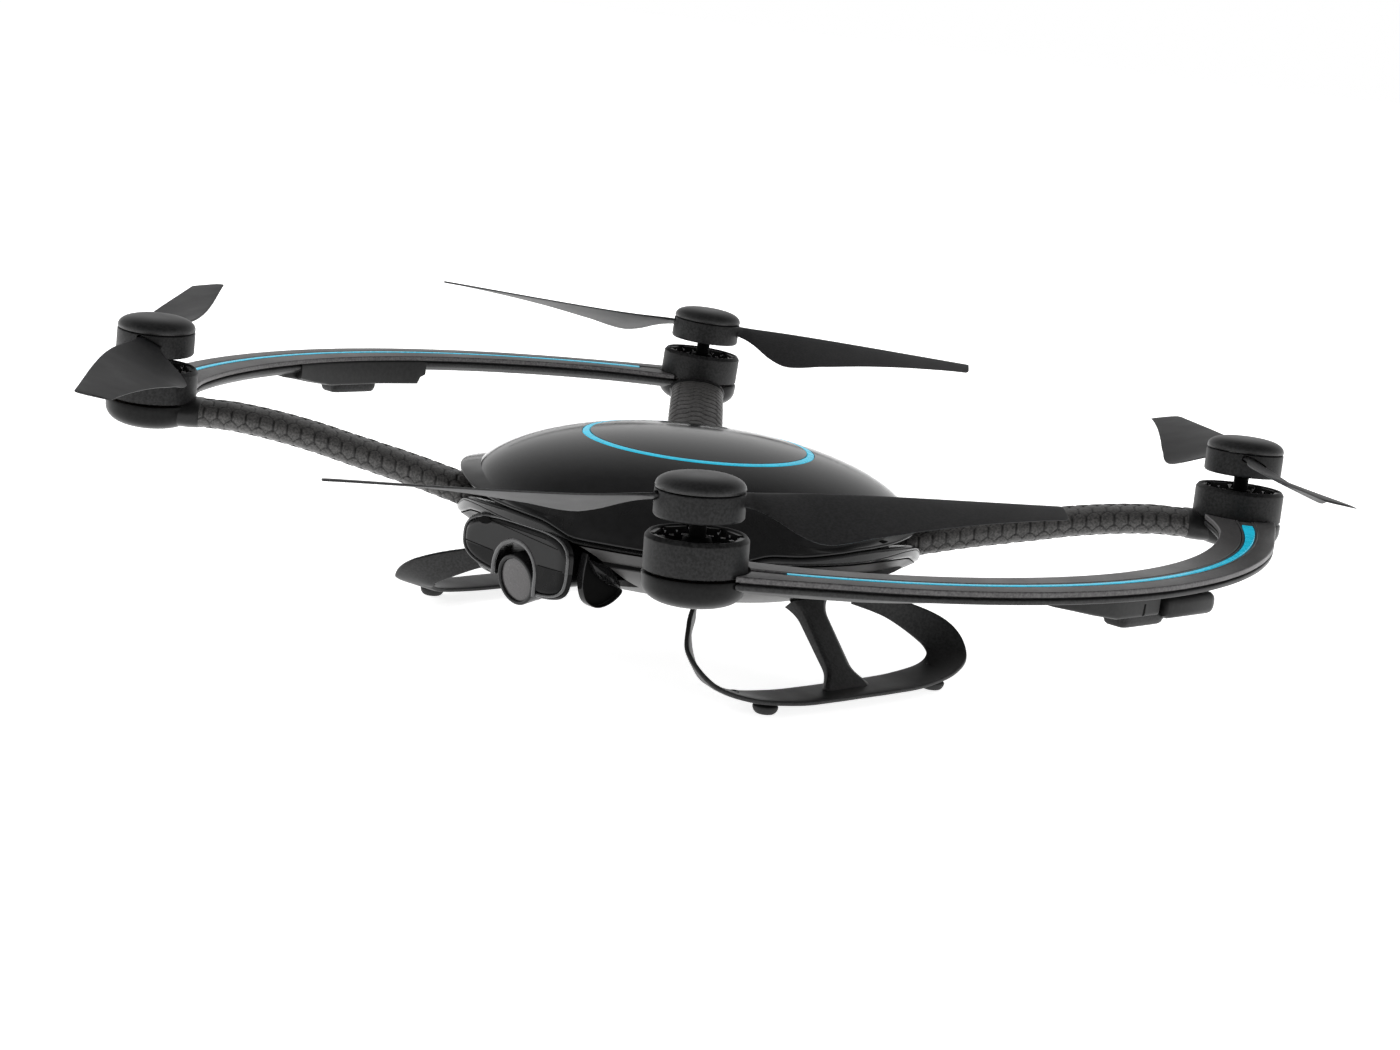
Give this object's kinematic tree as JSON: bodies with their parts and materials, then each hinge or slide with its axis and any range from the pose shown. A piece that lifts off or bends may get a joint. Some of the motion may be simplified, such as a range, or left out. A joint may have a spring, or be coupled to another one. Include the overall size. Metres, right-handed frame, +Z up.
{
  "type": "quadcopter drone",
  "caption": "Quadcopter drone with a low domed body, diagonal arms, curved side bows with light stripes, two-blade propellers, landing legs and a tilting nose camera.",
  "frame": {"origin": "centre of the flat face under the belly", "axes": "+Z up out of the dome, -Y forward through the camera, +X to the drone's left"},
  "size_m": [0.403, 0.4025, 0.087],
  "materials": {
    "gloss_black": "gloss",
    "satin_black": "satin",
    "blade_black": "matt with fine grain",
    "arm_black": "satin with a woven scale pattern",
    "bow_grey": "satin with fine grain",
    "light_cyan": "translucent light strip",
    "steel": "turned",
    "copper": "wound copper wire",
    "lens_grey": "coated lens",
    "rubber": "matt",
    "board_green": "satin",
    "pack_grey": "matt"
  },
  "bodies": {
    "frame": {"top_shell": "gloss_black", "status_ring": "light_cyan", "lower_shell": "gloss_black", "belly_cover": "satin_black", "battery": "pack_grey", "chassis_plate": "satin_black", "flight_board": "board_green", "arm_front_left": "arm_black", "foot_front_left": "rubber", "arm_rear_left": "arm_black", "foot_rear_left": "rubber", "arm_front_right": "arm_black", "foot_front_right": "rubber", "arm_rear_right": "arm_black", "foot_rear_right": "rubber", "bow_left": "bow_grey", "bow_light_left": "light_cyan", "side_pod_left": "satin_black", "antenna_left": "satin_black", "camera_cheek_left": "gloss_black", "leg_left": "satin_black", "bow_right": "bow_grey", "bow_light_right": "light_cyan", "side_pod_right": "satin_black", "antenna_right": "satin_black", "camera_cheek_right": "gloss_black", "leg_right": "satin_black", "motor_cup_front_left": "gloss_black", "stator_front_left": "copper", "motor_cup_rear_left": "gloss_black", "stator_rear_left": "copper", "motor_cup_front_right": "gloss_black", "stator_front_right": "copper", "motor_cup_rear_right": "gloss_black", "stator_rear_right": "copper", "camera_housing": "gloss_black", "camera_pin": "steel"},
    "camera": {"camera_barrel": "gloss_black", "camera_lens": "lens_grey"},
    "rotor_front_left": {"motor_bell_front_left": "satin_black", "motor_shaft_front_left": "steel", "propeller_hub_front_left": "satin_black", "hub_cap_front_left": "satin_black", "propeller_front_left": "blade_black"},
    "rotor_rear_left": {"motor_bell_rear_left": "satin_black", "motor_shaft_rear_left": "steel", "propeller_hub_rear_left": "satin_black", "hub_cap_rear_left": "satin_black", "propeller_rear_left": "blade_black"},
    "rotor_front_right": {"motor_bell_front_right": "satin_black", "motor_shaft_front_right": "steel", "propeller_hub_front_right": "satin_black", "hub_cap_front_right": "satin_black", "propeller_front_right": "blade_black"},
    "rotor_rear_right": {"motor_bell_rear_right": "satin_black", "motor_shaft_rear_right": "steel", "propeller_hub_rear_right": "satin_black", "hub_cap_rear_right": "satin_black", "propeller_rear_right": "blade_black"}
  },
  "joints": [
    {"name": "rotor_spin_front_left", "type": "hinge", "parent": "frame", "child": "rotor_front_left", "pos_m": [0.12296, -0.12452, 0.0365], "axis": [-0.031, -0.0306, 0.999], "continuous": true},
    {"name": "rotor_spin_rear_left", "type": "hinge", "parent": "frame", "child": "rotor_rear_left", "pos_m": [0.12296, 0.12452, 0.0365], "axis": [-0.031, 0.0306, 0.999], "continuous": true},
    {"name": "rotor_spin_front_right", "type": "hinge", "parent": "frame", "child": "rotor_front_right", "pos_m": [-0.12296, -0.12452, 0.0365], "axis": [0.031, -0.0306, 0.999], "continuous": true},
    {"name": "rotor_spin_rear_right", "type": "hinge", "parent": "frame", "child": "rotor_rear_right", "pos_m": [-0.12296, 0.12452, 0.0365], "axis": [0.031, 0.0306, 0.999], "continuous": true},
    {"name": "camera_tilt", "type": "hinge", "parent": "frame", "child": "camera", "pos_m": [0, -0.064, 0.0031], "axis": [1, 0, 0], "range_deg": [-20, 80]}
  ]
}
